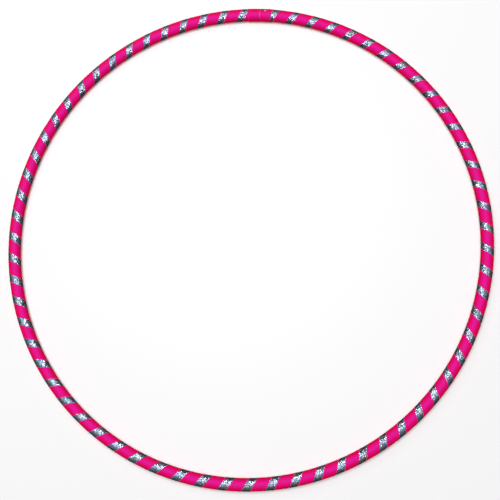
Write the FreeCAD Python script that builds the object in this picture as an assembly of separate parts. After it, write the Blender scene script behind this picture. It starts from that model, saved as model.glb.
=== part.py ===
import FreeCAD, Part
import math
import os

# A collapsible fitness hoop lying flat.
# Frame: millimetres, +Z up, origin on the floor at the centre of the ring,
# the seam where the two tube ends meet at +Y.
# The ring is built with its seam at angle 0 and turned to +Y as each piece is
# written. "Along" is the distance in millimetres along the tube's centre line,
# counter-clockwise from the seam; "round" is the angle round the tube, 0 at the
# outer rim of the ring and 90 degrees at the top.

# ---- driving dimensions -------------------------------------------------------
HOOP_OUTER_DIAMETER = 1016.0       # 40 inch hoop, over the grip tape
TUBE_OUTER_RADIUS = 12.5           # 25 mm polyethylene pipe
TUBE_WALL = 2.3
SEAM_GAP = 1.2                     # daylight between the two tube ends

TAPE_GAP = 0.02                    # adhesive line between one layer and the next
GLITTER_THICKNESS = 0.16
GRIP_THICKNESS = 0.28
GLITTER_TAPE_WIDTH = 19.0          # as sold, across the tape
GRIP_TAPE_WIDTH = 25.4             # one inch cloth tape
WRAP_TURNS = 68.53                 # turns of the helix in one lap of the ring
GLITTER_START_TURNS = 0.55         # helix phase: the glitter's middle at the outer rim
PITCH_SWING = 2.0                  # wound by hand: the pitch is this much wider on one
WIDEST_PITCH_AT = 140.0            # side, this many degrees from the seam, and narrower opposite
END_WRAP_WIDTH = GRIP_TAPE_WIDTH

INSERT_OUTER_RADIUS = 10.0
INSERT_INNER_RADIUS = 8.0
INSERT_IN_FIXED_END = 35.0
INSERT_IN_FREE_END = 45.0
INSERT_CHAMFER = 1.0

RIVET_RADIUS = 1.6
RIVET_HEAD_RADIUS = 2.8
RIVET_HEAD_RISE = 0.9
RIVET_BULGE_RADIUS = 2.4
RIVET_BULGE_LENGTH = 1.6
RIVET_CLEARANCE = 0.05
MANDREL_RADIUS = 0.93
MANDREL_HEAD_RADIUS = 1.5
MANDREL_HEAD_LENGTH = 1.4
MANDREL_DIMPLE = 0.35              # how far the snapped stem stops below the head's top
RIVETS = {"near": (11.5, 64.0), "far": (21.0, 40.0)}   # distance from seam, angle round

BUTTON_ALONG = 18.0                # distance of the snap button from the seam
BUTTON_RADIUS = 3.0
BUTTON_HOLE_RADIUS = 3.2
BUTTON_STANDS_PROUD = 1.0
BUTTON_DOME_RISE = 1.8
BUTTON_COLLAR_RADIUS = 4.2
BUTTON_COLLAR_THICKNESS = 0.8
BUTTON_STUB_RADIUS = 1.2
BUTTON_STUB_LENGTH = 1.5
BUTTON_TRAVEL = 4.3                # pressed this far, the dome clears the tube's bore

SPRING_THICKNESS = 0.5
SPRING_WIDTH = 7.0
SPRING_HOLE_RADIUS = 1.4
SPRING_LOWER_LEG = -6.2            # height of the lower leg's middle line
SPRING_BEND_RADIUS = 2.0
SPRING_BEND_ALONG = -30.0          # places along the leaf, from the button's axis
SPRING_KNEE_ALONG = -6.0
SPRING_TIP_ALONG = 5.0

TRIM = 0.2                         # how far a wound tape stops short of an end face
FIT_GAP = 0.1                      # between pieces that only just touch inside the insert

# ---- worked out ----------------------------------------------------------------
GLITTER_INNER = TUBE_OUTER_RADIUS + TAPE_GAP
GLITTER_OUTER = GLITTER_INNER + GLITTER_THICKNESS
GRIP_INNER = GLITTER_OUTER + TAPE_GAP
GRIP_OUTER = GRIP_INNER + GRIP_THICKNESS
WRAP_INNER = GRIP_OUTER + TAPE_GAP
WRAP_OUTER = WRAP_INNER + GRIP_THICKNESS
RING_RADIUS = HOOP_OUTER_DIAMETER / 2 - GRIP_OUTER
RING_HEIGHT = WRAP_OUTER                    # the end wraps touch the floor
LAP = 2 * math.pi * RING_RADIUS
PITCH = LAP / WRAP_TURNS
TUBE_INNER_RADIUS = TUBE_OUTER_RADIUS - TUBE_WALL
HELIX_ANGLE = math.atan2(PITCH, 2 * math.pi * GRIP_OUTER)
GLITTER_HALF = GLITTER_TAPE_WIDTH / math.cos(HELIX_ANGLE) / 2
GRIP_HALF = GRIP_TAPE_WIDTH / math.cos(HELIX_ANGLE) / 2
GRIP_START_TURNS = GLITTER_START_TURNS + 0.5
END_FACE = SEAM_GAP / 2
WRAP_EDGE = END_FACE + END_WRAP_WIDTH
BULGE_TOP = math.sqrt(INSERT_INNER_RADIUS ** 2 - RIVET_BULGE_RADIUS ** 2) - RIVET_CLEARANCE
BULGE_BOTTOM = BULGE_TOP - RIVET_BULGE_LENGTH
BUTTON_TOP = WRAP_OUTER + BUTTON_STANDS_PROUD
COLLAR_TOP = math.sqrt(INSERT_INNER_RADIUS ** 2 - BUTTON_COLLAR_RADIUS ** 2) - FIT_GAP
COLLAR_BOTTOM = COLLAR_TOP - BUTTON_COLLAR_THICKNESS
DRILL_LENGTH = WRAP_OUTER + 2
Y_AXIS = FreeCAD.Vector(0, 1, 0)
Z_AXIS = FreeCAD.Vector(0, 0, 1)


# ---- helpers --------------------------------------------------------------------
def degrees_along(distance):
    """Angle round the ring, in degrees, of a distance along the centre line."""
    return math.degrees(distance / RING_RADIUS)


def ring_piece(outer, inner, start, end):
    """A hollow piece of the ring's tube between two distances along it."""
    centre = FreeCAD.Vector(RING_RADIUS, 0, 0)
    wires = [Part.Wire(Part.makeCircle(radius, centre, Y_AXIS)) for radius in (outer, inner)]
    face = Part.Face(wires[0]).cut(Part.Face(wires[1]))
    face.rotate(FreeCAD.Vector(), Z_AXIS, degrees_along(start))
    return face.revolve(FreeCAD.Vector(), Z_AXIS, degrees_along(end - start)).Solids[0]


def spot_placement(along, round_degrees):
    """Placement whose +Z leaves the tube's centre line at a place on the tube."""
    turn = FreeCAD.Rotation(Z_AXIS, degrees_along(along))
    lean = FreeCAD.Rotation(Y_AXIS, 90 - round_degrees)
    centre = turn.multVec(FreeCAD.Vector(RING_RADIUS, 0, 0))
    return FreeCAD.Placement(centre, turn * lean)


def at_spot(shape, along, round_degrees):
    """Move a shape modelled on +Z from the tube's centre line to its place."""
    placed = shape.copy()
    placed.Placement = spot_placement(along, round_degrees)
    return placed


def turned(profile):
    """A solid of revolution about +Z from (radius, height) points."""
    points = [FreeCAD.Vector(radius, 0, height) for radius, height in profile]
    face = Part.Face(Part.makePolygon(points + points[:1]))
    return face.revolve(FreeCAD.Vector(), Z_AXIS, 360).Solids[0]


def domed_rod(radius, bottom, shoulder, rise):
    """An upright rod with a spherical top that rises over its shoulder."""
    corner = FreeCAD.Vector(radius, 0, shoulder)
    top = FreeCAD.Vector(0, 0, shoulder + rise)
    ball = (radius ** 2 + rise ** 2) / (2 * rise)
    half = math.asin(radius / ball) / 2
    middle = FreeCAD.Vector(ball * math.sin(half), 0, shoulder + rise - ball * (1 - math.cos(half)))
    foot = FreeCAD.Vector(radius, 0, bottom)
    axis_foot = FreeCAD.Vector(0, 0, bottom)
    edges = [Part.makeLine(axis_foot, foot), Part.makeLine(foot, corner),
             Part.Arc(corner, middle, top).toShape(), Part.makeLine(top, axis_foot)]
    return Part.Face(Part.Wire(edges)).revolve(FreeCAD.Vector(), Z_AXIS, 360).Solids[0]


def button_hole(solid):
    """Drill the snap button's hole, at the outer rim of the free end."""
    drill = Part.makeCylinder(BUTTON_HOLE_RADIUS, DRILL_LENGTH)
    return solid.cut(at_spot(drill, BUTTON_ALONG, 0))


def rivet_holes(solid):
    """Drill the two rivet holes."""
    drill = Part.makeCylinder(RIVET_RADIUS + RIVET_CLEARANCE, DRILL_LENGTH)
    for distance, round_degrees in RIVETS.values():
        solid = solid.cut(at_spot(drill, -distance, round_degrees))
    return solid


# ---- wound tapes ------------------------------------------------------------------
def torus(radius):
    surface = Part.Toroid()
    surface.MajorRadius = RING_RADIUS
    surface.MinorRadius = radius
    return surface


def line_on(surface, start, end, lap):
    """An edge on a torus between two (along, turns) places, lap being whole turns to drop."""
    places = [FreeCAD.Base.Vector2d(along / RING_RADIUS, 2 * math.pi * (turns - lap))
              for along, turns in (start, end)]
    return Part.Geom2d.Line2dSegment(*places).toShape(surface)


def wound_to(turns):
    """Distance along the ring that the hand-wound helix has reached after some turns."""
    round_ring = 2 * math.pi * turns / WRAP_TURNS
    widest = math.radians(WIDEST_PITCH_AT)
    lead = PITCH_SWING * WRAP_TURNS / (2 * math.pi)
    return PITCH * turns + lead * (math.sin(round_ring - widest) + math.sin(widest))


def turns_at(along, start_turns):
    """The turns at which a tape's middle line reaches a distance along the ring."""
    turns = along / PITCH
    for _ in range(8):
        turns += (along - wound_to(turns)) / PITCH
    return turns - start_turns


def tape(inner, outer, start_turns, half_width, first, last):
    """A flat tape wound round the ring as one solid.

    Its faces lie on the two tori, half a turn at a time, with a thin wall
    between them along each edge. first and last are the turns, counted from
    the outer rim, at which the tape's leading and trailing edges end.
    """
    def place(turns, side):
        return (wound_to(turns + start_turns) + side * half_width, turns)

    joints = [turns / 2 for turns in range(math.ceil(max(first) * 2 + 1e-6),
                                           math.floor(min(last) * 2 - 1e-6) + 1)]
    stations = [first] + [(turns, turns) for turns in joints] + [last]
    skins = [torus(inner), torus(outer)]
    faces = []
    for here, there in zip(stations, stations[1:]):
        low = [place(here[0], -1), place(there[0], -1)]
        high = [place(here[1], 1), place(there[1], 1)]
        loop = [low[0], low[1], high[1], high[0]]
        lap = math.floor(min(turns for _, turns in loop) + 1e-9)
        edges = [[line_on(skin, loop[i], loop[(i + 1) % 4], lap) for i in range(4)]
                 for skin in skins]
        faces += [Part.Face(skin, Part.Wire(sides)) for skin, sides in zip(skins, edges)]
        walls = [0, 2] + [3] * (here is stations[0]) + [1] * (there is stations[-1])
        faces += [Part.makeRuledSurface(edges[0][i], edges[1][i], 1) for i in walls]
    shell = Part.makeShell(faces)
    shell.sewShape()
    solid = Part.Solid(shell)
    if solid.Volume < 0:
        solid.reverse()
    return solid


def glitter_tape():
    margin = END_FACE + TRIM + GLITTER_HALF
    first = turns_at(margin, GLITTER_START_TURNS)
    last = turns_at(LAP - margin, GLITTER_START_TURNS)
    solid = tape(GLITTER_INNER, GLITTER_OUTER, GLITTER_START_TURNS, GLITTER_HALF,
                 (first, first), (last, last))
    return rivet_holes(button_hole(solid))


def grip_tape():
    margin = END_FACE + TRIM + GRIP_HALF
    under_wrap = WRAP_EDGE - TRIM - GRIP_HALF
    first = [turns_at(place, GRIP_START_TURNS) for place in (margin, under_wrap)]
    last = [turns_at(LAP - place, GRIP_START_TURNS) for place in (under_wrap, margin)]
    solid = tape(GRIP_INNER, GRIP_OUTER, GRIP_START_TURNS, GRIP_HALF, first, last)
    return rivet_holes(button_hole(solid))


def end_wrap_free():
    return button_hole(ring_piece(WRAP_OUTER, WRAP_INNER, END_FACE, WRAP_EDGE))


def end_wrap_fixed():
    return rivet_holes(ring_piece(WRAP_OUTER, WRAP_INNER, -WRAP_EDGE, -END_FACE))


# ---- tube and connector --------------------------------------------------------------
def hoop_tube():
    solid = ring_piece(TUBE_OUTER_RADIUS, TUBE_INNER_RADIUS, END_FACE, LAP - END_FACE)
    return rivet_holes(button_hole(solid))


def connector_insert():
    solid = ring_piece(INSERT_OUTER_RADIUS, INSERT_INNER_RADIUS,
                       -INSERT_IN_FIXED_END, INSERT_IN_FREE_END)
    rims = [edge for edge in solid.Edges
            if isinstance(edge.Curve, Part.Circle)
            and abs(edge.Curve.Radius - INSERT_OUTER_RADIUS) < 1e-6]
    solid = solid.makeChamfer(INSERT_CHAMFER, rims)
    return rivet_holes(button_hole(solid.Solids[0]))


# ---- rivets -----------------------------------------------------------------------------
def rivet_body(distance, round_degrees):
    """Domed head on the wrap, a shank through every layer, a bulge inside."""
    head = domed_rod(RIVET_HEAD_RADIUS, GRIP_OUTER, WRAP_OUTER, RIVET_HEAD_RISE)
    head = at_spot(head, -distance, round_degrees)
    layers = Part.makeTorus(RING_RADIUS, WRAP_OUTER)
    shank = turned([(0, BULGE_BOTTOM), (RIVET_BULGE_RADIUS, BULGE_BOTTOM),
                    (RIVET_BULGE_RADIUS, BULGE_TOP), (RIVET_RADIUS, BULGE_TOP),
                    (RIVET_RADIUS, WRAP_OUTER), (0, WRAP_OUTER)])
    bore = Part.makeCylinder(MANDREL_RADIUS + RIVET_CLEARANCE, DRILL_LENGTH)
    body = head.cut(layers).fuse(at_spot(shank, -distance, round_degrees))
    return body.cut(at_spot(bore, -distance, round_degrees)).Solids[0]


def rivet_mandrel(distance, round_degrees):
    """The broken-off stem left in the rivet, with its head below the bulge."""
    head_top = BULGE_BOTTOM - RIVET_CLEARANCE
    head_bottom = head_top - MANDREL_HEAD_LENGTH
    chamfer = MANDREL_HEAD_RADIUS - MANDREL_RADIUS
    stem_top = WRAP_OUTER + RIVET_HEAD_RISE - MANDREL_DIMPLE
    profile = [(0, head_bottom), (MANDREL_RADIUS, head_bottom),
               (MANDREL_HEAD_RADIUS, head_bottom + chamfer), (MANDREL_HEAD_RADIUS, head_top),
               (MANDREL_RADIUS, head_top), (MANDREL_RADIUS, stem_top), (0, stem_top)]
    return at_spot(turned(profile), -distance, round_degrees)


# ---- snap button and its spring --------------------------------------------------------------
def snap_button():
    """A domed plunger, a collar that stops it inside the insert, and a stub."""
    shoulder = BUTTON_TOP - BUTTON_DOME_RISE
    plunger = domed_rod(BUTTON_RADIUS, COLLAR_BOTTOM, shoulder, BUTTON_DOME_RISE)
    collar = Part.makeCylinder(BUTTON_COLLAR_RADIUS, BUTTON_COLLAR_THICKNESS,
                               FreeCAD.Vector(0, 0, COLLAR_BOTTOM))
    stub = Part.makeCylinder(BUTTON_STUB_RADIUS, BUTTON_STUB_LENGTH,
                             FreeCAD.Vector(0, 0, COLLAR_BOTTOM - BUTTON_STUB_LENGTH))
    button = plunger.fuse(collar).fuse(stub).removeSplitter()
    return at_spot(button.Solids[0], BUTTON_ALONG, 0)


def button_spring():
    """A leaf spring folded into a V, one leg under the collar, one on the far wall.

    Drawn in the plane of the ring on the button's axis: +Z out of the tube and
    +Y along it. The two legs run tangent into the bend.
    """
    upper = COLLAR_BOTTOM - FIT_GAP - SPRING_THICKNESS / 2
    bend_height = SPRING_LOWER_LEG + SPRING_BEND_RADIUS
    rise = upper - bend_height
    reach = SPRING_KNEE_ALONG - SPRING_BEND_ALONG
    slope = math.atan2(rise, reach) - math.asin(SPRING_BEND_RADIUS / math.hypot(rise, reach))

    def outline(offset):
        """The leaf's middle line moved outwards by offset, from one tip to the other."""
        radius = SPRING_BEND_RADIUS + offset
        places = [
            (SPRING_TIP_ALONG, upper + offset),
            (SPRING_KNEE_ALONG, upper + offset),
            (SPRING_BEND_ALONG - radius * math.sin(slope), bend_height + radius * math.cos(slope)),
            (SPRING_BEND_ALONG - radius, bend_height),
            (SPRING_BEND_ALONG, bend_height - radius),
            (SPRING_TIP_ALONG, bend_height - radius),
        ]
        return [FreeCAD.Vector(-SPRING_WIDTH / 2, along, height) for along, height in places]

    def leaf_face(points):
        tip, knee, bend_start, bend_middle, bend_end, foot = points
        return [Part.makeLine(tip, knee), Part.makeLine(knee, bend_start),
                Part.Arc(bend_start, bend_middle, bend_end).toShape(),
                Part.makeLine(bend_end, foot)]

    outer, inner = outline(SPRING_THICKNESS / 2), outline(-SPRING_THICKNESS / 2)
    ends = [Part.makeLine(outer[0], inner[0]), Part.makeLine(outer[-1], inner[-1])]
    side = Part.Face(Part.Wire(Part.__sortEdges__(leaf_face(outer) + leaf_face(inner) + ends)))
    leaf = side.extrude(FreeCAD.Vector(SPRING_WIDTH, 0, 0))
    stub_hole = Part.makeCylinder(SPRING_HOLE_RADIUS, BUTTON_STUB_LENGTH + FIT_GAP,
                                  FreeCAD.Vector(0, 0, COLLAR_BOTTOM - BUTTON_STUB_LENGTH))
    return at_spot(leaf.cut(stub_hole).Solids[0], BUTTON_ALONG, 0)


# ---- write every piece -----------------------------------------------------------------------
pieces = {
    "hoop_tube": hoop_tube(),
    "connector_insert": connector_insert(),
    "snap_button": snap_button(),
    "button_spring": button_spring(),
    "glitter_tape": glitter_tape(),
    "grip_tape": grip_tape(),
    "end_wrap_fixed": end_wrap_fixed(),
    "end_wrap_free": end_wrap_free(),
}
for name, spot in RIVETS.items():
    pieces[name + "_rivet_body"] = rivet_body(*spot)
    pieces[name + "_rivet_mandrel"] = rivet_mandrel(*spot)

os.makedirs("parts", exist_ok=True)
for name, shape in pieces.items():
    shape.rotate(FreeCAD.Vector(), Z_AXIS, 90)
    shape.translate(FreeCAD.Vector(0, 0, RING_HEIGHT))
    shape.exportStep("parts/" + name + ".step")
    print(f"{name:20s} solids {len(shape.Solids)}  valid {shape.isValid()}  "
          f"volume {shape.Volume / 1000:9.3f} cm3  faces {len(shape.Faces)}")

button_angle = math.radians(90 + degrees_along(BUTTON_ALONG))
print(f"ring radius {RING_RADIUS:.3f}  height {RING_HEIGHT:.3f}  pitch {PITCH:.3f}  "
      f"helix angle {math.degrees(HELIX_ANGLE):.2f}")
print(f"button presses along ({-math.cos(button_angle):.6f}, {-math.sin(button_angle):.6f}, 0) "
      f"by {BUTTON_TRAVEL}")
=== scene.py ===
# %% [markdown]
# # A wrapped travel hoop
# This is a dance hoop: one springy plastic tube bent into a ring, wound with a
# ribbon of holographic glitter tape and a ribbon of fluorescent pink cloth tape.
# The tape is nearly all that anyone sees, so most of the work here goes into two
# long ribbons and their two finishes. The engineer's frame fixes every size and
# place, so it is loaded first and then dressed.

# %% Load the frame
import math
import random

import bmesh
import bpy
from mathutils import Matrix, Vector


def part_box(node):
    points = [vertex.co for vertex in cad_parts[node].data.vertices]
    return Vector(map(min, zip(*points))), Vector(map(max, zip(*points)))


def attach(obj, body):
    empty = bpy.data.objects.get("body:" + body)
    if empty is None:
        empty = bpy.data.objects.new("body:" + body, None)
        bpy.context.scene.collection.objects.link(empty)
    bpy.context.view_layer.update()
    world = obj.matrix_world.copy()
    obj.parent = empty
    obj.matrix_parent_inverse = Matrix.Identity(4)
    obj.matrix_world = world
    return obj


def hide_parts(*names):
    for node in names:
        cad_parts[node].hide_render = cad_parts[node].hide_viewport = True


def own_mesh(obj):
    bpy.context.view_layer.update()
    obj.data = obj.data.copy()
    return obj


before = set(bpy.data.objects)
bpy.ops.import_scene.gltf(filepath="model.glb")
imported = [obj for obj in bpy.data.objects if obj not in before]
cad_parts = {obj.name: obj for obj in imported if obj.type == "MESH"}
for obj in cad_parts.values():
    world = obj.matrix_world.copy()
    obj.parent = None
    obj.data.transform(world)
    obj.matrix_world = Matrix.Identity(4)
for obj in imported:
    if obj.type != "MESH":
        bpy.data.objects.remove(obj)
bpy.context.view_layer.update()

# %% [markdown]
# ## Measures
# A hoop is a torus, and everything on it can be placed with three numbers: how far
# along the ring, how far round the tube, and how far out from the tube's middle.
# The torus could simply be typed in. Reading it from the boxes of the frame's own
# pieces means that the looks can never drift away from the engineering. Only the
# winding has to be stated, because no box can show it.

# %% Measures of the ring and of the winding
MM = 0.001


def half_height(node):
    low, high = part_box(node)
    return (high[2] - low[2]) / 2


TUBE_RADIUS = half_height("hoop_tube")
GRIP_RADIUS = half_height("grip_tape")
WRAP_RADIUS = half_height("end_wrap_free")
RING_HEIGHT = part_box("hoop_tube")[0][2] + TUBE_RADIUS
RING_RADIUS = (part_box("hoop_tube")[1][0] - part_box("hoop_tube")[0][0]) / 2 - TUBE_RADIUS
LAP = 2 * math.pi * RING_RADIUS

WRAP_TURNS = 68.53                 # turns of the helix in one lap of the ring
PITCH_SWING = 2.0 * MM             # how much wider the pitch is on one side of the ring,
WIDEST_PITCH_AT = 140              # this many degrees from the seam, and narrower opposite
GLITTER_START_TURNS = 0.55
GRIP_START_TURNS = GLITTER_START_TURNS + 0.5
GLITTER_WIDTH = 19 * MM
GRIP_WIDTH = 25.4 * MM             # one inch cloth tape
GLITTER_THICKNESS = 0.16 * MM
GRIP_THICKNESS = 0.28 * MM
GLUE_LINE = 0.02 * MM              # between one layer and the next
END_FACE = 0.6 * MM                # from the seam's middle to the end of the tube
END_WRAP_WIDTH = GRIP_WIDTH

PITCH = LAP / WRAP_TURNS
HELIX_ANGLE = math.atan2(PITCH, 2 * math.pi * GRIP_RADIUS)
print(f"ring radius {RING_RADIUS:.5f}  height {RING_HEIGHT:.5f}")
print(f"tube {TUBE_RADIUS:.5f}  over tape {GRIP_RADIUS:.5f}  over wraps {WRAP_RADIUS:.5f}")
print(f"pitch {PITCH:.5f}  helix angle {math.degrees(HELIX_ANGLE):.1f} degrees")

# %% [markdown]
# ## The camera
# The hoop lies flat and is seen from nearly straight above, with its lower right
# edge a little nearer the lens, so that it reads as almost a circle and its near
# side is a touch thicker. A constraint could aim the camera. It is plainer to say
# where it stands, what it looks at and how far it is rolled, and to let one
# function turn that into a rotation.

# %% Camera
CAMERA_PLACE = Vector((0.175, -0.219, 1.37))
CAMERA_AIM = Vector((0.018, -0.025, RING_HEIGHT))
CAMERA_ROLL = math.radians(-4.46)
CAMERA_LENS = 47.8


def camera_turn(place, aim, roll):
    """Rotation of a camera at place that looks at aim, with +Y up in its view, then rolled."""
    ahead = (aim - place).normalized()
    up = Vector((math.sin(roll), math.cos(roll), 0))
    right = ahead.cross(up).normalized()
    return Matrix((right, right.cross(ahead), -ahead)).transposed().to_4x4()


camera = bpy.data.objects.new("camera", bpy.data.cameras.new("camera"))
camera.data.lens = CAMERA_LENS
camera.matrix_world = (Matrix.Translation(CAMERA_PLACE)
                       @ camera_turn(CAMERA_PLACE, CAMERA_AIM, CAMERA_ROLL))
bpy.context.scene.collection.objects.link(camera)
bpy.context.scene.camera = camera
print("camera stands", round((CAMERA_PLACE - CAMERA_AIM).length, 3), "m from the hoop")

# %% [markdown]
# ## Getting about on the tube
# Every ribbon below is a list of places on the torus, so two helpers come first.
# One turns along, round and out into a point. The other says how far along the
# ring the helix has got after so many turns. A machine would wind it evenly. A
# person lays the tape a little wider on one side of the ring and a little closer
# on the other, and that one slow wave stops the bands from looking stamped. Its
# pitch is a cosine, so the distance reached is a sine.

# %% Places on the tube
def on_tube(along, round_angle, out):
    """The point that lies along the ring, round the tube and out from its middle."""
    turn = math.pi / 2 + along / RING_RADIUS
    reach = RING_RADIUS + out * math.cos(round_angle)
    return Vector((reach * math.cos(turn), reach * math.sin(turn),
                   RING_HEIGHT + out * math.sin(round_angle)))


def wound_to(turns):
    """Distance along the ring that the hand-wound helix has reached after some turns."""
    round_ring = 2 * math.pi * turns / WRAP_TURNS
    widest = math.radians(WIDEST_PITCH_AT)
    lead = PITCH_SWING * WRAP_TURNS / (2 * math.pi)
    return PITCH * turns + lead * (math.sin(round_ring - widest) + math.sin(widest))


def turns_at(along):
    """The turns after which the helix reaches a distance along the ring."""
    turns = along / PITCH
    for _ in range(8):
        turns += (along - wound_to(turns)) / PITCH
    return turns


print("half way round after", round(turns_at(LAP / 2), 2), "turns of", WRAP_TURNS)

# %% [markdown]
# ## Lofting a ribbon
# Tape is a flat section carried along a path. Blender's curves can carry a section
# too, but they turn it by their own rules, and this one has to stay flat on a
# torus. Writing the rows of points ourselves keeps it exactly on the tube. Each
# point also stores where it is on the unrolled tape, in metres, as a UV map. The
# weave and the glitter are drawn on the tape as it came off the roll, and bend
# round the tube with it.

# %% Loft rows of points into a closed piece
def loft(name, rows, marks):
    """Skin rows of points, each row a closed section, with a cap at each end."""
    count = len(rows[0])
    last_row = (len(rows) - 1) * count
    faces = [tuple(range(count)), tuple(range(last_row, last_row + count))]
    for start in range(0, last_row, count):
        for side in range(count):
            after = (side + 1) % count
            faces.append((start + side, start + after,
                          start + count + after, start + count + side))
    mesh = bpy.data.meshes.new(name)
    mesh.from_pydata([point for row in rows for point in row], [], faces)
    flat_marks = [mark for row in marks for mark in row]
    layer = mesh.uv_layers.new(name="tape")
    for loop in mesh.loops:
        layer.data[loop.index].uv = flat_marks[loop.vertex_index]
    work = bmesh.new()
    work.from_mesh(mesh)
    bmesh.ops.recalc_face_normals(work, faces=work.faces)
    work.to_mesh(mesh)
    work.free()
    mesh.shade_smooth()
    mesh.set_sharp_from_angle(angle=math.radians(50))
    piece = bpy.data.objects.new(name, mesh)
    bpy.context.scene.collection.objects.link(piece)
    return piece


# %% [markdown]
# ## Drilling
# The button and the rivets go through the tape, and a maker punches those holes
# after winding. So do we: one boolean with a cylinder for each hole, applied
# straight away, so that the piece carries its real holes.

# %% Drill holes square to the tube
HOLE_SIDES = 48


def pin_at(along, round_angle, radius, low, high):
    """A cylinder that stands on the tube's middle line and points out of the tube."""
    work = bmesh.new()
    bmesh.ops.create_cone(work, cap_ends=True, segments=HOLE_SIDES, radius1=radius,
                          radius2=radius, depth=high - low)
    outward = (on_tube(along, round_angle, 1) - on_tube(along, round_angle, 0)).normalized()
    turned = outward.to_track_quat("Z", "Y").to_matrix().to_4x4()
    middle = Matrix.Translation(on_tube(along, round_angle, (low + high) / 2))
    work.transform(middle @ turned)
    mesh = bpy.data.meshes.new("pin")
    work.to_mesh(mesh)
    work.free()
    pin = bpy.data.objects.new("pin", mesh)
    bpy.context.scene.collection.objects.link(pin)
    return pin


def drill(piece, pin):
    """Cut the pin's shape out of the piece, keep the result and throw the pin away."""
    cut = piece.modifiers.new("hole", "BOOLEAN")
    cut.operation = "DIFFERENCE"
    cut.solver = "EXACT"
    cut.object = pin
    whole = piece.data
    seen = bpy.context.evaluated_depsgraph_get()
    piece.data = bpy.data.meshes.new_from_object(piece.evaluated_get(seen))
    piece.modifiers.clear()
    bpy.data.meshes.remove(whole)
    bpy.data.objects.remove(pin)
    piece.data.name = piece.name
    piece.data.set_sharp_from_angle(angle=math.radians(50))


BUTTON_ALONG = 18 * MM
BUTTON_HOLE_RADIUS = 3.2 * MM
RIVET_HOLE_RADIUS = 1.65 * MM
RIVET_SPOTS = [(-11.5 * MM, math.radians(64)), (-21 * MM, math.radians(40))]
THROUGH_TAPE = (TUBE_RADIUS - 1 * MM, WRAP_RADIUS + 2 * MM)

# %% [markdown]
# ## The wound ribbons
# The glitter tape goes on first, flat against the tube. The pink tape follows in
# the gaps and laps over its edges, so it climbs a step one film high near each of
# its own edges. That faint ridge is easy to see on a real hoop and easy to leave
# out. Both ribbons also wander a little from turn to turn, which makes the silver
# bands differ in width.

# %% Wind a ribbon round the ring
STEPS_PER_TURN = 44
END_TRIM = 0.2 * MM                # how far a ribbon stops short of the end of the tube
STRIDE = math.hypot(2 * math.pi * GRIP_RADIUS, PITCH)


def wander(seed, size):
    """A smooth wandering function of the turns, made of three sines with random phases."""
    draw = random.Random(seed)
    waves = [(2 * math.pi / draw.uniform(2.3, 9.0), draw.uniform(0, 2 * math.pi))
             for _ in range(3)]
    return lambda turns: size / 3 * sum(math.sin(rate * turns + phase) for rate, phase in waves)


def wind(name, middle_at, section_at, first, last):
    """Carry a section of (across, out) points round the ring, trimmed at the tube's ends."""
    rows, marks = [], []
    steps = math.ceil((last - first) * STEPS_PER_TURN)
    for step in range(steps + 1):
        turns = first + (last - first) * step / steps
        middle = middle_at(turns)
        section = section_at(turns)
        edge = max(across for across, _ in section)
        low = max(-edge, END_FACE + END_TRIM - middle)
        high = min(edge, LAP - END_FACE - END_TRIM - middle)
        squeeze = (high - low) / (2 * edge)
        placed = [(low + (across + edge) * squeeze, out) for across, out in section]
        rows.append([on_tube(middle + across, 2 * math.pi * turns, out)
                     for across, out in placed])
        marks.append([(STRIDE * turns + across * math.sin(HELIX_ANGLE),
                       across * math.cos(HELIX_ANGLE)) for across, out in placed])
    return loft(name, rows, marks)


# %% Glitter ribbon
GLITTER_HALF = GLITTER_WIDTH / 2 / math.cos(HELIX_ANGLE)
GLITTER_BOTTOM = TUBE_RADIUS + GLUE_LINE
GLITTER_TOP = GLITTER_BOTTOM + GLITTER_THICKNESS
glitter_stray = wander(11, 0.7 * MM)


def glitter_middle(turns):
    return wound_to(turns + GLITTER_START_TURNS) + glitter_stray(turns)


def glitter_section(turns):
    """The film's flat section, its upper corners just broken."""
    corner = 0.05 * MM
    left = [(-4 * MM, GLITTER_BOTTOM), (-GLITTER_HALF, GLITTER_BOTTOM),
            (-GLITTER_HALF, GLITTER_TOP - corner), (corner - GLITTER_HALF, GLITTER_TOP),
            (-6 * MM, GLITTER_TOP), (-2 * MM, GLITTER_TOP)]
    return left + [(-across, out) for across, out in reversed(left)]


glitter_margin = END_FACE + END_TRIM + GLITTER_HALF + 1 * MM
glitter_ribbon = wind("glitter_ribbon", glitter_middle, glitter_section,
                      turns_at(glitter_margin) - GLITTER_START_TURNS,
                      turns_at(LAP - glitter_margin) - GLITTER_START_TURNS)
drill(glitter_ribbon, pin_at(BUTTON_ALONG, 0, BUTTON_HOLE_RADIUS, *THROUGH_TAPE))
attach(glitter_ribbon, "hoop")
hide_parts("glitter_tape")
print("glitter ribbon", len(glitter_ribbon.data.polygons), "faces")

# %% Pink ribbon, stepping up over the glitter's edges
GRIP_HALF = GRIP_WIDTH / 2 / math.cos(HELIX_ANGLE)
GRIP_LOW = TUBE_RADIUS + GLUE_LINE
GRIP_HIGH = GLITTER_TOP + GLUE_LINE
GRIP_MARGIN = 9.5 * MM             # so near the seam, both ends hide under the end wraps
SETTLING = ((0.2, 0), (0.7, 0.2), (1.3, 0.8), (1.8, 1))   # mm past a film's edge, share sunk
grip_stray = wander(5, 0.8 * MM)


def grip_middle(turns):
    return wound_to(turns + GRIP_START_TURNS) + grip_stray(turns)


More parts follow.
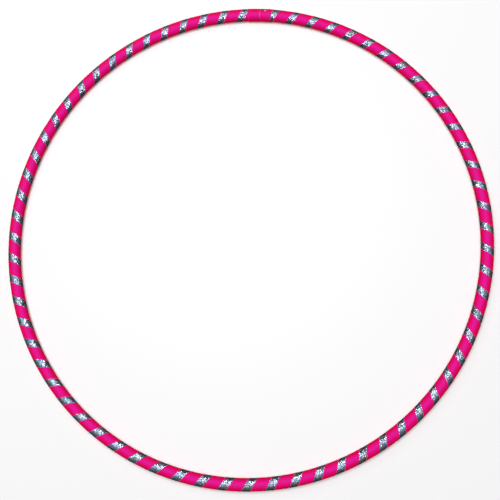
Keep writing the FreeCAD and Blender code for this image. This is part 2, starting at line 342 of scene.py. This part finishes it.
def grip_section(turns):
    """High where it lies over the glitter's edges, low between them, with soft steps."""
    middle = grip_middle(turns)
    behind = glitter_middle(turns) + GLITTER_HALF - middle
    ahead = glitter_middle(turns + 1) - GLITTER_HALF - middle
    corner = 0.08 * MM
    left = [(-GRIP_HALF, 0, -corner), (-GRIP_HALF + corner, 0, 0)]
    left += [(behind + past * MM, sunk, 0) for past, sunk in SETTLING] + [(-3 * MM, 1, 0)]
    right = [(GRIP_HALF, 0, -corner), (GRIP_HALF - corner, 0, 0)]
    right += [(ahead - past * MM, sunk, 0) for past, sunk in SETTLING] + [(3 * MM, 1, 0)]
    drop = GRIP_HIGH - GRIP_LOW
    top = [(across, GRIP_HIGH + GRIP_THICKNESS + raised - sunk * drop)
           for across, sunk, raised in left + right[::-1]]
    bottom = [(GRIP_HALF, GRIP_HIGH), (ahead - 0.2 * MM, GRIP_HIGH), (ahead - 1.8 * MM, GRIP_LOW),
              (behind + 1.8 * MM, GRIP_LOW), (behind + 0.2 * MM, GRIP_HIGH), (-GRIP_HALF, GRIP_HIGH)]
    return top + bottom


grip_ribbon = wind("grip_ribbon", grip_middle, grip_section,
                   turns_at(GRIP_MARGIN) - GRIP_START_TURNS,
                   turns_at(LAP - GRIP_MARGIN) - GRIP_START_TURNS)
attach(grip_ribbon, "hoop")
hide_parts("grip_tape")
print("pink ribbon", len(grip_ribbon.data.polygons), "faces")

# %% [markdown]
# ## The end wraps
# At each end of the tube, one straight turn of the same pink tape locks down the
# wound ribbons, so that the join reads as one plain pink stretch with a fine line
# across it. A plain sleeve would do from far off. Real tape has to end somewhere,
# so this one is a strip of a little more than one turn that climbs over its own
# start at the inner rim. Hands never lay it quite square, so its free edge leans,
# while the other edge is trimmed flush with the end of the tube.

# %% Wrap one end of the tube
WRAP_STEPS = 120
WRAP_LOW = WRAP_RADIUS - GRIP_THICKNESS
OVERLAP = math.radians(34)
CLIMB = math.radians(9)


def soft_step(value):
    """0 up to 0, 1 from 1 on, and a smooth rise between."""
    value = min(max(value, 0.0), 1.0)
    return value * value * (3 - 2 * value)


def wrap_end(name, near, far, lean, start_round, seed):
    """A strip of tape from near to far along the ring, once round the tube and a bit over."""
    waver = wander(seed, 0.25 * MM)
    rows, marks = [], []
    for step in range(WRAP_STEPS + 1):
        covered = (2 * math.pi + OVERLAP) * step / WRAP_STEPS
        climb = soft_step((covered - 2 * math.pi + 1.2 * CLIMB) / CLIMB)
        low = WRAP_LOW + climb * (GRIP_THICKNESS + GLUE_LINE)
        high = low + GRIP_THICKNESS
        width = far - near + lean * math.cos(start_round + covered) + waver(covered * 5)
        section = [(0, high - 0.08 * MM), (0.005, high), (0.14, high), (0.38, high),
                   (0.62, high), (0.86, high), (0.995, high), (1, high - 0.08 * MM),
                   (1, low), (0.75, low), (0.5, low), (0.25, low), (0, low)]
        rows.append([on_tube(near + share * width, start_round + covered, out)
                     for share, out in section])
        marks.append([(covered * WRAP_RADIUS, (share - 0.5) * END_WRAP_WIDTH)
                      for share, out in section])
    piece = loft(name, rows, marks)
    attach(piece, "hoop")
    return piece


free_wrap = wrap_end("free_end_wrap", END_FACE, END_FACE + END_WRAP_WIDTH,
                     lean=0.8 * MM, start_round=math.radians(196), seed=3)
drill(free_wrap, pin_at(BUTTON_ALONG, 0, BUTTON_HOLE_RADIUS, *THROUGH_TAPE))
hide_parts("end_wrap_free")
fixed_wrap = wrap_end("fixed_end_wrap", -END_FACE, -END_FACE - END_WRAP_WIDTH,
                      lean=-2.6 * MM, start_round=math.radians(188), seed=8)
for rivet_along, rivet_round in RIVET_SPOTS:
    drill(fixed_wrap, pin_at(rivet_along, rivet_round, RIVET_HOLE_RADIUS, *THROUGH_TAPE))
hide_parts("end_wrap_fixed")
print("wraps", len(free_wrap.data.polygons), len(fixed_wrap.data.polygons), "faces")

# %% [markdown]
# ## The leaf spring
# Inside the free end, a folded strip of spring steel pushes the snap button out.
# It is stamped from thin strip, so its edges are rounded, not square. The same
# loft makes it: a rounded section carried along a line with one tight bend and
# one soft knee. When the button is pressed the two legs close up, which a rigid
# piece can't do.

# %% Spring
SPRING_THICKNESS = 0.5 * MM
SPRING_WIDTH = 7 * MM
SPRING_UPPER = 5.559 * MM          # height of the upper leg's middle line in the tube
SPRING_LOWER = -6.2 * MM
SPRING_BEND = (-30 * MM, 2 * MM)   # place along the leaf, and radius, of the fold
SPRING_KNEE = -6 * MM
SPRING_TIP = 5 * MM
STUB_HOLE_RADIUS = 1.4 * MM


def spring_line():
    """(along, height) places down the leaf's middle line, from the upper tip to the lower."""
    fold, radius = SPRING_BEND
    centre = SPRING_LOWER + radius
    rise, reach = SPRING_UPPER - centre, SPRING_KNEE - fold
    slope = math.atan2(rise, reach) - math.asin(radius / math.hypot(rise, reach))
    line = [(SPRING_TIP, SPRING_UPPER), (SPRING_KNEE + 1.6 * MM, SPRING_UPPER),
            (SPRING_KNEE, SPRING_UPPER - 0.12 * MM)]
    turn = math.pi - slope
    for step in range(17):
        angle = math.pi / 2 + slope + turn * step / 16
        line.append((fold + radius * math.cos(angle), centre + radius * math.sin(angle)))
    return line + [(-15 * MM, SPRING_LOWER), (SPRING_TIP, SPRING_LOWER)]


def spring_leaf():
    line = [Vector(place) for place in spring_line()]
    out = (on_tube(BUTTON_ALONG, 0, 1) - on_tube(BUTTON_ALONG, 0, 0)).normalized()
    down_ring = Vector((0, 0, 1)).cross(out)
    root = on_tube(BUTTON_ALONG, 0, 0)
    half, thin, soft = SPRING_WIDTH / 2, SPRING_THICKNESS / 2, 0.12 * MM
    section = [(-half + soft, -thin), (half - soft, -thin), (half, -thin + soft),
               (half, thin - soft), (half - soft, thin), (-half + soft, thin),
               (-half, thin - soft), (-half, -thin + soft)]
    rows, marks, run = [], [], 0.0
    for index, place in enumerate(line):
        before, after = line[max(index - 1, 0)], line[min(index + 1, len(line) - 1)]
        ahead = (after - before).normalized()
        side = Vector((-ahead.y, ahead.x))
        run += (place - before).length
        rows.append([root + down_ring * (place.x + side.x * rise) + out * (place.y + side.y * rise)
                     + Vector((0, 0, across)) for across, rise in section])
        marks.append([(run, across) for across, _ in section])
    return loft("spring_leaf", rows, marks), root + out * (SPRING_LOWER - thin), out


spring, spring_foot, spring_axis = spring_leaf()
drill(spring, pin_at(BUTTON_ALONG, 0, STUB_HOLE_RADIUS, 4 * MM, 7 * MM))
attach(spring, "hoop")
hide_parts("button_spring")
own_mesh(spring)

# %% [markdown]
# ## Making materials
# Every finish below is a Principled shader whose colour, roughness and normal are
# fed by patterns. Six small helpers keep the cells readable. They add a node, fill
# a socket, do a sum, mix two colours, map a range, and start a material with its
# Principled shader.

# %% Helpers for nodes
def node(tree, kind, options=None, **inputs):
    """Add a node; an input given as a socket is linked, anything else is set."""
    made = tree.nodes.new("ShaderNode" + kind)
    for name, value in (options or {}).items():
        setattr(made, name, value)
    for name, value in inputs.items():
        fill(tree, made.inputs[name.replace("_", " ")], value)
    return made


def fill(tree, socket, value):
    if isinstance(value, bpy.types.NodeSocket):
        tree.links.new(value, socket)
    else:
        socket.default_value = value


def maths(tree, operation, *values):
    """The result of one Math node."""
    made = tree.nodes.new("ShaderNodeMath")
    made.operation = operation
    for socket, value in zip(made.inputs, values):
        fill(tree, socket, value)
    return made.outputs[0]


def mixed(tree, share, first, second):
    """Colour between first and second."""
    made = tree.nodes.new("ShaderNodeMix")
    made.data_type = "RGBA"
    for index, value in ((0, share), (6, first), (7, second)):
        fill(tree, made.inputs[index], value)
    return made.outputs[2]


def between(tree, value, low, high, start, end):
    """Map value from low..high to start..end, held at both ends."""
    made = node(tree, "MapRange", None, Value=value)
    for index, number in enumerate((low, high, start, end), 1):
        made.inputs[index].default_value = number
    return made.outputs[0]


def finish(name, **plain):
    """A new material with its Principled shader, and the plain values on that shader."""
    material = bpy.data.materials.new(name)
    material.use_nodes = True
    tree = material.node_tree
    tree.nodes.clear()
    shader = node(tree, "BsdfPrincipled", None, **plain)
    output = node(tree, "OutputMaterial")
    tree.links.new(shader.outputs[0], output.inputs[0])
    return material, tree, shader


# %% [markdown]
# ## Shared effects
# Two effects turn up on several finishes, so each is a node group: the thin edges
# of a tape, and the fine marks that handling leaves on anything hard. A group puts
# out masks and heights only. What they do is decided in each material.

# %% Group: tape edge
def new_group(name, inputs, outputs):
    group = bpy.data.node_groups.new(name, "ShaderNodeTree")
    for title, start in inputs:
        socket = group.interface.new_socket(title, in_out="INPUT", socket_type="NodeSocketFloat")
        socket.default_value = start
    for title in outputs:
        group.interface.new_socket(title, in_out="OUTPUT", socket_type="NodeSocketFloat")
    return group, group.nodes.new("NodeGroupInput"), group.nodes.new("NodeGroupOutput")


tape_edge, given, result = new_group(
    "tape edge", [("Half Width", 12 * MM), ("Band", 0.4 * MM), ("Ragged", 0.3 * MM)],
    ["Edge", "Inner"])
place = node(tape_edge, "UVMap", {"uv_map": "tape"})
split = node(tape_edge, "SeparateXYZ", None, Vector=place.outputs[0])
rough_line = node(tape_edge, "TexNoise", {"noise_dimensions": "2D"}, Vector=place.outputs[0],
                  Scale=1400.0, Detail=3.0)
rag = maths(tape_edge, "MULTIPLY", maths(tape_edge, "SUBTRACT", rough_line.outputs[0], 0.5),
            given.outputs["Ragged"])
in_from_edge = maths(tape_edge, "SUBTRACT", given.outputs["Half Width"],
                     maths(tape_edge, "ABSOLUTE", split.outputs[1]))
depth = maths(tape_edge, "DIVIDE", maths(tape_edge, "ADD", in_from_edge, rag),
              given.outputs["Band"])
edge_mask = between(tape_edge, depth, 0.4, 1.0, 1.0, 0.0)
tape_edge.links.new(edge_mask, result.inputs["Edge"])
inner_mask = between(tape_edge, depth, 1.0, 9.0, 1.0, 0.0)
tape_edge.links.new(inner_mask, result.inputs["Inner"])
print("group", tape_edge.name, [item.name for item in tape_edge.interface.items_tree])

# %% Group: handling marks
handling, given, result = new_group("handling marks", [("Scale", 300.0)],
                                    ["Scratch", "Cloud", "Grain"])
spot = node(handling, "TexCoord")
cloud = node(handling, "TexNoise", None, Vector=spot.outputs["Object"], Detail=4.0,
             Scale=maths(handling, "MULTIPLY", given.outputs["Scale"], 0.35))
grain = node(handling, "TexNoise", None, Vector=spot.outputs["Object"], Detail=3.0,
             Scale=maths(handling, "MULTIPLY", given.outputs["Scale"], 12.0))
bent = node(handling, "VectorMath", {"operation": "MULTIPLY_ADD"})
fill(handling, bent.inputs[0], cloud.outputs["Color"])
bent.inputs[1].default_value = (0.004, 0.004, 0.004)
fill(handling, bent.inputs[2], spot.outputs["Object"])
crack = node(handling, "TexVoronoi", {"feature": "DISTANCE_TO_EDGE"}, Vector=bent.outputs[0],
             Scale=given.outputs["Scale"])
scratch = between(handling, crack.outputs["Distance"], 0.0, 0.03, 1.0, 0.0)
worn = between(handling, cloud.outputs[0], 0.48, 0.6, 0.0, 1.0)
handling.links.new(maths(handling, "MULTIPLY", scratch, worn), result.inputs["Scratch"])
handling.links.new(cloud.outputs[0], result.inputs["Cloud"])
handling.links.new(grain.outputs[0], result.inputs["Grain"])
print("group", handling.name, [item.name for item in handling.interface.items_tree])

# %% [markdown]
# ## Fluorescent pink cloth tape
# A fine plain weave under a thin coat of coloured rubber. Its dye drinks blue and
# green light and gives red back. Here a fixed red glow under a magenta colour stands
# in for that: a painted light that the cloth gives off under any lamp, so its shaded
# side turns red and never goes dark. The flanks that face away from the eye are
# painted redder and less blue, which is painted shade. The weave is two crossed
# sines at thread size with a little noise for uneven yarn, and the hollows between
# its threads are painted darker, as painted shade. Stretching leaves long faint
# creases whose hollows are painted darker too, and the cut edges show pale threads.

# %% Pink cloth
THREADS_PER_METRE = 2300
# The fixed red emission is a painted glow that keeps the shaded cloth red.
pink_cloth, tree, shader = finish(
    "pink cloth tape", Emission_Color=(1.0, 0.0, 0.03, 1), Emission_Strength=0.30,
    Sheen_Weight=0.05, Sheen_Roughness=0.4, Sheen_Tint=(1.0, 0.12, 0.6, 1),
    Specular_IOR_Level=0.12)
place = node(tree, "UVMap", {"uv_map": "tape"}).outputs[0]
split = node(tree, "SeparateXYZ", None, Vector=place)
yarn_rate = math.pi * THREADS_PER_METRE
weft = maths(tree, "SINE", maths(tree, "MULTIPLY", split.outputs[0], yarn_rate))
warp = maths(tree, "SINE", maths(tree, "MULTIPLY", split.outputs[1], yarn_rate))
weave_and_shade = maths(tree, "MULTIPLY", weft, warp)

stretched = node(tree, "Mapping", None, Vector=place, Scale=(0.16, 1.0, 1.0))
creases_and_shade = node(tree, "TexNoise", {"noise_dimensions": "2D"}, Vector=stretched.outputs[0],
               Scale=420.0, Detail=4.0, Roughness=0.6)
mottle = node(tree, "TexNoise", {"noise_dimensions": "2D"}, Vector=place, Scale=90.0, Detail=3.0)
yarns = node(tree, "TexNoise", {"noise_dimensions": "2D"}, Scale=900.0, Detail=2.0,
             Vector=node(tree, "Mapping", None, Vector=place, Scale=(0.08, 1.0, 1.0)).outputs[0])
ruffled = node(tree, "VectorMath", {"operation": "MULTIPLY_ADD"})
fill(tree, ruffled.inputs[0], yarns.outputs["Color"])
ruffled.inputs[1].default_value = (0.0012, 0.0006, 0.0)
fill(tree, ruffled.inputs[2], place)
flecks = node(tree, "TexVoronoi", {"voronoi_dimensions": "2D"}, Vector=ruffled.outputs[0],
              Scale=110.0)
rare = node(tree, "SeparateXYZ", None, Vector=flecks.outputs["Color"])
fleck = maths(tree, "MULTIPLY", between(tree, flecks.outputs["Distance"], 0.02, 0.04, 1.0, 0.0),
              maths(tree, "GREATER_THAN", rare.outputs[0], 0.86))

cloth = mixed(tree, between(tree, mottle.outputs[0], 0.3, 0.7, 0.0, 1.0),
              (0.53, 0.0010, 0.265, 1), (0.60, 0.0025, 0.335, 1))
cloth = mixed(tree, between(tree, yarns.outputs[0], 0.35, 0.75, 0.0, 0.22), cloth,
              (0.66, 0.008, 0.41, 1))
# Painted shade: the hollows of the creases are mixed darker.
cloth = mixed(tree, between(tree, creases_and_shade.outputs[0], 0.30, 0.46, 0.35, 0.0), cloth,
              (0.36, 0.001, 0.15, 1))
hem = node(tree, "Group", {"node_tree": tape_edge}, Half_Width=GRIP_WIDTH / 2,
           Band=0.4 * MM, Ragged=0.8 * MM)
# Painted shade: the hollows between the threads are mixed darker.
cloth = mixed(tree, between(tree, weave_and_shade, -0.7, 0.2, 0.20, 0.0), cloth, (0.25, 0.0, 0.12, 1))
# Painted shade: the flanks that face away from the eye are mixed towards a deeper red.
facing_for_shade = node(tree, "LayerWeight", None, Blend=0.5).outputs["Facing"]
cloth = mixed(tree, between(tree, facing_for_shade, 0.02, 0.4, 0.0, 0.85), cloth,
              (0.64, 0.0, 0.035, 1))
cloth = mixed(tree, maths(tree, "MULTIPLY", hem.outputs["Inner"], 0.14), cloth,
              (0.42, 0.0, 0.19, 1))
cloth = mixed(tree, maths(tree, "MULTIPLY", hem.outputs["Edge"], 0.45), cloth,
              (0.66, 0.42, 0.70, 1))
cloth = mixed(tree, maths(tree, "MULTIPLY", fleck, 0.55), cloth, (0.70, 0.55, 0.75, 1))
fill(tree, shader.inputs["Base Color"], cloth)

worn_smooth = between(tree, mottle.outputs[0], 0.3, 0.7, 0.52, 0.66)
fill(tree, shader.inputs["Roughness"],
     maths(tree, "ADD", worn_smooth, maths(tree, "MULTIPLY", hem.outputs["Edge"], 0.25)))
height = maths(tree, "MULTIPLY", weave_and_shade, 0.035 * MM)
height = maths(tree, "MULTIPLY_ADD", creases_and_shade.outputs[0], 0.22 * MM, height)
height = maths(tree, "MULTIPLY_ADD", mottle.outputs[0], 0.5 * MM, height)
bump = node(tree, "Bump", None, Height=height, Distance=1.0, Strength=0.8)
fill(tree, shader.inputs["Normal"], bump.outputs[0])
print("pink cloth", len(tree.nodes), "nodes")

# %% [markdown]
# ## Holographic glitter film
# Under a clear glossy skin lie flakes of metal foil about a millimetre across,
# each stamped with a grating that throws one colour. Scattering real flakes would
# take a million faces. A cell pattern does as well: each cell is one flake, with
# its own colour and its own tilt, so that some catch the light and some go dark,
# and the gaps between the cells are nearly black.

# %% Glitter film
FLAKES_PER_METRE = 1150
FLAKE_COLOURS = [
    (0.00, (0.78, 0.82, 0.92)), (0.30, (0.42, 0.74, 0.92)), (0.46, (0.16, 0.62, 0.72)),
    (0.56, (0.62, 0.68, 0.86)), (0.66, (0.22, 0.34, 0.90)), (0.76, (0.50, 0.32, 0.84)),
    (0.83, (0.84, 0.74, 0.26)), (0.89, (0.84, 0.42, 0.14)), (0.94, (0.24, 0.72, 0.36))]
glitter_film, tree, shader = finish("holographic glitter film", Coat_Roughness=0.06, Coat_IOR=1.5)
place = node(tree, "UVMap", {"uv_map": "tape"}).outputs[0]
flake = node(tree, "TexVoronoi", {"voronoi_dimensions": "2D"}, Vector=place,
             Scale=float(FLAKES_PER_METRE))
gap = node(tree, "TexVoronoi", {"voronoi_dimensions": "2D", "feature": "DISTANCE_TO_EDGE"},
           Vector=place, Scale=float(FLAKES_PER_METRE))
in_flake = between(tree, gap.outputs["Distance"], 0.02, 0.09, 0.0, 1.0)
chance = node(tree, "SeparateXYZ", None, Vector=flake.outputs["Color"])
palette = node(tree, "ValToRGB", None, Fac=chance.outputs[0])
palette.color_ramp.interpolation = "CONSTANT"
stops = palette.color_ramp.elements
for position, colour in FLAKE_COLOURS[2:]:
    stops.new(position)
for stop, (position, colour) in zip(stops, FLAKE_COLOURS):
    stop.position = position
    stop.color = (*colour, 1)
shade = between(tree, chance.outputs[1], 0.0, 0.8, 0.30, 1.0)
foil = mixed(tree, shade, (0.02, 0.02, 0.025, 1), palette.outputs[0])
fill(tree, shader.inputs["Base Color"], mixed(tree, in_flake, (0.012, 0.013, 0.018, 1), foil))
fill(tree, shader.inputs["Metallic"], between(tree, in_flake, 0.0, 1.0, 0.3, 1.0))
fill(tree, shader.inputs["Roughness"], between(tree, chance.outputs[2], 0.0, 1.0, 0.18, 0.42))

FLAKE_TILT = 0.42
tilt = node(tree, "Mapping", {"vector_type": "POINT"}, Vector=flake.outputs["Color"])
tilt.inputs["Location"].default_value = (0.5 - FLAKE_TILT / 2, 0.5 - FLAKE_TILT / 2, 1.0)
tilt.inputs["Scale"].default_value = (FLAKE_TILT, FLAKE_TILT, 0.0)
tipped = node(tree, "NormalMap", {"uv_map": "tape"}, Color=tilt.outputs[0], Strength=1.0)
fill(tree, shader.inputs["Normal"], tipped.outputs[0])
film_edge = node(tree, "Group", {"node_tree": tape_edge}, Half_Width=GLITTER_WIDTH / 2,
                 Band=0.3 * MM, Ragged=0.1 * MM)
fill(tree, shader.inputs["Coat Weight"],
     between(tree, film_edge.outputs["Edge"], 0.0, 1.0, 0.45, 0.1))
print("glitter film", len(tree.nodes), "nodes")

# %% [markdown]
# ## Plastic and metal
# The black tube and the grey insert are extruded polyethylene: waxy, faintly
# scuffed, a shade paler where a scratch has whitened them. The rivets are soft
# aluminium, their pulled stems steel, the button nickel plated and the spring
# blued. All of them wear the same handling marks, each in its own measure.

# %% Hard finishes
def hard_finish(name, scale, colour, scratched, roughness, metallic, mark_depth):
    """A finish with cloudy colour, fine grain and handling marks."""
    material, tree, shader = finish(name, Metallic=metallic)
    marks = node(tree, "Group", {"node_tree": handling}, Scale=scale)
    darker = tuple(0.82 * part for part in colour)
    body = mixed(tree, between(tree, marks.outputs["Cloud"], 0.35, 0.65, 0.0, 1.0),
                 (*darker, 1), (*colour, 1))
    fill(tree, shader.inputs["Base Color"],
         mixed(tree, maths(tree, "MULTIPLY", marks.outputs["Scratch"], 0.6), body, (*scratched, 1)))
    dull = between(tree, marks.outputs["Cloud"], 0.3, 0.7, roughness - 0.06, roughness + 0.08)
    fill(tree, shader.inputs["Roughness"],
         maths(tree, "MULTIPLY_ADD", marks.outputs["Scratch"], 0.15, dull))
    height = maths(tree, "MULTIPLY_ADD", marks.outputs["Scratch"], -0.5,
                   maths(tree, "MULTIPLY", marks.outputs["Grain"], 0.4))
    bump = node(tree, "Bump", None, Height=height, Distance=mark_depth, Strength=0.7)
    fill(tree, shader.inputs["Normal"], bump.outputs[0])
    return material


tube_plastic = hard_finish("black polyethylene", 160.0, (0.016, 0.016, 0.018),
                           (0.10, 0.10, 0.11), roughness=0.42, metallic=0.0, mark_depth=0.05 * MM)
insert_plastic = hard_finish("grey insert plastic", 260.0, (0.34, 0.33, 0.37),
                             (0.55, 0.54, 0.58), roughness=0.34, metallic=0.0, mark_depth=0.04 * MM)
rivet_aluminium = hard_finish("rivet aluminium", 700.0, (0.72, 0.73, 0.75),
                              (0.86, 0.86, 0.88), roughness=0.30, metallic=1.0, mark_depth=0.02 * MM)
mandrel_steel = hard_finish("mandrel steel", 900.0, (0.36, 0.36, 0.38),
                            (0.55, 0.55, 0.56), roughness=0.40, metallic=1.0, mark_depth=0.02 * MM)
button_nickel = hard_finish("button nickel", 600.0, (0.66, 0.64, 0.60),
                            (0.82, 0.80, 0.77), roughness=0.22, metallic=1.0, mark_depth=0.015 * MM)
blued_spring = hard_finish("blued spring steel", 500.0, (0.10, 0.13, 0.20),
                           (0.32, 0.33, 0.36), roughness=0.32, metallic=1.0, mark_depth=0.02 * MM)

# %% Dress every piece
FINISHES = {
    "hoop_tube": tube_plastic, "connector_insert": insert_plastic,
    "snap_button": button_nickel,
    "near_rivet_body": rivet_aluminium, "far_rivet_body": rivet_aluminium,
    "near_rivet_mandrel": mandrel_steel, "far_rivet_mandrel": mandrel_steel}
for name, material in FINISHES.items():
    cad_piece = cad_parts[name]
    if not cad_piece.material_slots:
        cad_piece.data.materials.append(material)
    for material_slot in cad_piece.material_slots:
        material_slot.material = material
MADE_HERE = ((grip_ribbon, pink_cloth), (free_wrap, pink_cloth), (fixed_wrap, pink_cloth),
             (glitter_ribbon, glitter_film), (spring, blued_spring))
for piece, material in MADE_HERE:
    piece.data.materials.clear()
    piece.data.materials.append(material)
print("dressed", len(FINISHES) + len(MADE_HERE), "pieces")

# %% [markdown]
# ## Floor and light
# A pale floor, one very large soft light overhead and a smaller key light from
# behind and to the left. The large one runs a bright line along the top of the tube,
# and what lies beyond it is kept dark for mirror reflections, so that the film has
# dark flanks, while the room stays pale to the eye. The floor glows a little and bounces
# little light back, because a truly white one would wash out the shaded cloth.

# %% Floor
FLOOR_RADIUS = 14.0
FLOOR_SIDES = 96
floor_mesh = bpy.data.meshes.new("floor")
turns_round = [2 * math.pi * step / FLOOR_SIDES for step in range(FLOOR_SIDES)]
rim = [(FLOOR_RADIUS * math.cos(turn), FLOOR_RADIUS * math.sin(turn), 0) for turn in turns_round]
floor_mesh.from_pydata(rim, [], [tuple(range(FLOOR_SIDES))])
floor = bpy.data.objects.new("floor", floor_mesh)
floor.location.z = -0.1 * MM
bpy.context.scene.collection.objects.link(floor)
floor_paint, tree, shader = finish("floor paint", Base_Color=(0.92, 0.92, 0.925, 1),
                                   Roughness=0.9, Specular_IOR_Level=0.1,
                                   Emission_Strength=1.0)
from_middle = node(tree, "VectorMath", {"operation": "LENGTH"})
fill(tree, from_middle.inputs[0], node(tree, "TexCoord").outputs["Object"])
far_glow = between(tree, from_middle.outputs["Value"], 0.5, 3.4, 0.16, 0.88)
fill(tree, shader.inputs["Emission Color"], far_glow)
ray = node(tree, "LightPath")
flagged = node(tree, "BsdfDiffuse", None, Color=(0.06, 0.06, 0.065, 1))
either = node(tree, "MixShader", None, Fac=ray.outputs["Is Camera Ray"])
tree.links.new(flagged.outputs[0], either.inputs[1])
tree.links.new(shader.outputs[0], either.inputs[2])
paint_output = next(made for made in tree.nodes if made.type == "OUTPUT_MATERIAL")
tree.links.new(either.outputs[0], paint_output.inputs[0])
floor_mesh.materials.append(floor_paint)

# %% Lights
def soft_light(name, place, aim, size, power):
    """A square soft light at place, turned towards aim."""
    lamp = bpy.data.lights.new(name, "AREA")
    lamp.size = size
    lamp.energy = power
    light = bpy.data.objects.new(name, lamp)
    light.location = place
    light.rotation_euler = (Vector(aim) - Vector(place)).to_track_quat("-Z", "Y").to_euler()
    light.visible_camera = False
    bpy.context.scene.collection.objects.link(light)
    return light


soft_light("overhead", (-0.05, 0.12, 2.2), (0, 0, 0), size=1.1, power=43)
soft_light("key", (-0.9, 1.1, 1.9), (0, 0, 0), size=0.8, power=5)

room = bpy.data.worlds.new("room")
bpy.context.scene.world = room
room.use_nodes = True
tree = room.node_tree
tree.nodes.clear()
ray = node(tree, "LightPath")
towards = node(tree, "SeparateXYZ", None, Vector=node(tree, "TexCoord").outputs["Generated"])
walls = mixed(tree, between(tree, towards.outputs[2], 0.08, 0.42, 0.0, 1.0),
              (0.05, 0.055, 0.075, 1), (0.30, 0.33, 0.40, 1))
for_mirrors = node(tree, "Background", None, Color=walls, Strength=1.0)
for_all_else = node(tree, "Background", None, Color=(0.93, 0.94, 0.95, 1), Strength=0.05)
for_eyes = node(tree, "Background", None, Color=(0.93, 0.94, 0.95, 1), Strength=1.0)
lit = node(tree, "MixShader", None, Fac=ray.outputs["Is Glossy Ray"])
tree.links.new(for_all_else.outputs[0], lit.inputs[1])
tree.links.new(for_mirrors.outputs[0], lit.inputs[2])
seen = node(tree, "MixShader", None, Fac=ray.outputs["Is Camera Ray"])
tree.links.new(lit.outputs[0], seen.inputs[1])
tree.links.new(for_eyes.outputs[0], seen.inputs[2])
world_output = node(tree, "OutputWorld")
tree.links.new(seen.outputs[0], world_output.inputs[0])
bpy.context.scene.view_settings.view_transform = "Standard"
